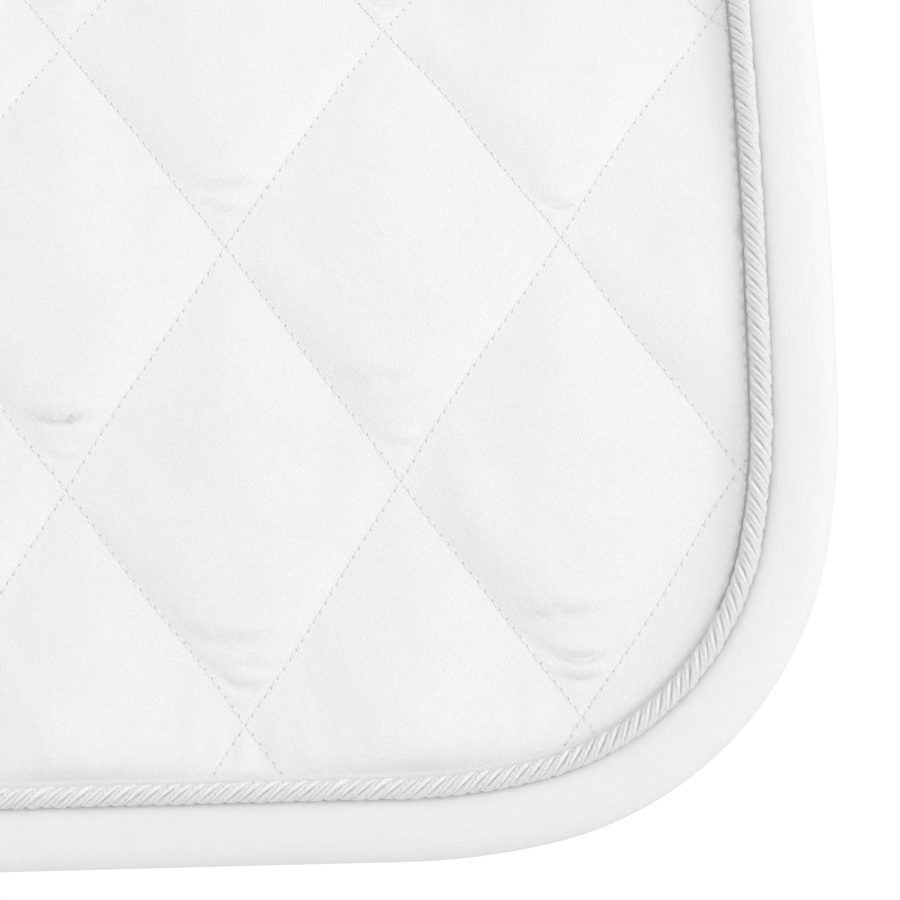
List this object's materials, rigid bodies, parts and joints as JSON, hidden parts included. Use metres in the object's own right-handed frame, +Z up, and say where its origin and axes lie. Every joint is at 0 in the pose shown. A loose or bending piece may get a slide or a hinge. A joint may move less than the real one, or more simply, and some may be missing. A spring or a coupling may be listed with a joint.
{
  "type": "saddle pad",
  "caption": "Quilted saddle pad with rounded flaps, bound edges and twisted cord trim, girth loops and billet straps, shaped as it lies on a horse.",
  "frame": {"origin": "middle of the spine's underside, where the pad bears on the horse's back", "axes": "+Z up; +X to the horse's rear, along the spine; the near (left) flap at -Y and the off (right) flap at +Y"},
  "size_m": [0.583, 0.5212, 0.4111],
  "materials": {
    "outer_cotton": "white cotton twill, quilted in diamonds",
    "lining_cotton": "soft white cotton",
    "wadding": "white polyester wadding",
    "edge_binding": "white cotton tape",
    "twisted_cord": "white satin cord, twisted",
    "webbing": "white woven webbing",
    "hook_and_loop": "white touch fastener",
    "thread": "white sewing thread"
  },
  "bodies": {
    "spine": {"spine_seam_core": "wadding", "spine_outer_tape": "edge_binding", "spine_inner_tape": "edge_binding", "spine_stitching": "thread", "spine_binding_front": "edge_binding", "spine_binding_rear": "edge_binding", "spine_cord_front": "twisted_cord", "spine_cord_rear": "twisted_cord"},
    "near_flap": {"near_outer_fabric": "outer_cotton", "near_wadding": "wadding", "near_lining": "lining_cotton", "near_quilting_thread": "thread", "near_edge_binding": "edge_binding", "near_twisted_cord": "twisted_cord", "near_girth_loop": "webbing", "near_loop_stitching": "thread", "near_billet_strap": "webbing", "near_loop_fastener": "hook_and_loop"},
    "near_tab": {"near_billet_tab": "webbing", "near_hook_fastener": "hook_and_loop"},
    "off_flap": {"off_outer_fabric": "outer_cotton", "off_wadding": "wadding", "off_lining": "lining_cotton", "off_quilting_thread": "thread", "off_edge_binding": "edge_binding", "off_twisted_cord": "twisted_cord", "off_girth_loop": "webbing", "off_loop_stitching": "thread", "off_billet_strap": "webbing", "off_loop_fastener": "hook_and_loop"},
    "off_tab": {"off_billet_tab": "webbing", "off_hook_fastener": "hook_and_loop"}
  },
  "joints": [
    {"name": "near_flap_fold", "type": "hinge", "parent": "spine", "child": "near_flap", "pos_m": [0, -0.02023, 0.00121], "axis": [-1, 0, 0], "range_deg": [-30, 58]},
    {"name": "near_billet_tab_open", "type": "hinge", "parent": "near_flap", "child": "near_tab", "pos_m": [-0.192, -0.06409, -0.02681], "axis": [-1, 0, 0], "range_deg": [0, 110]},
    {"name": "off_flap_fold", "type": "hinge", "parent": "spine", "child": "off_flap", "pos_m": [0, 0.02023, 0.00121], "axis": [1, 0, 0], "range_deg": [-30, 58]},
    {"name": "off_billet_tab_open", "type": "hinge", "parent": "off_flap", "child": "off_tab", "pos_m": [-0.192, 0.06409, -0.02681], "axis": [1, 0, 0], "range_deg": [0, 110]}
  ]
}
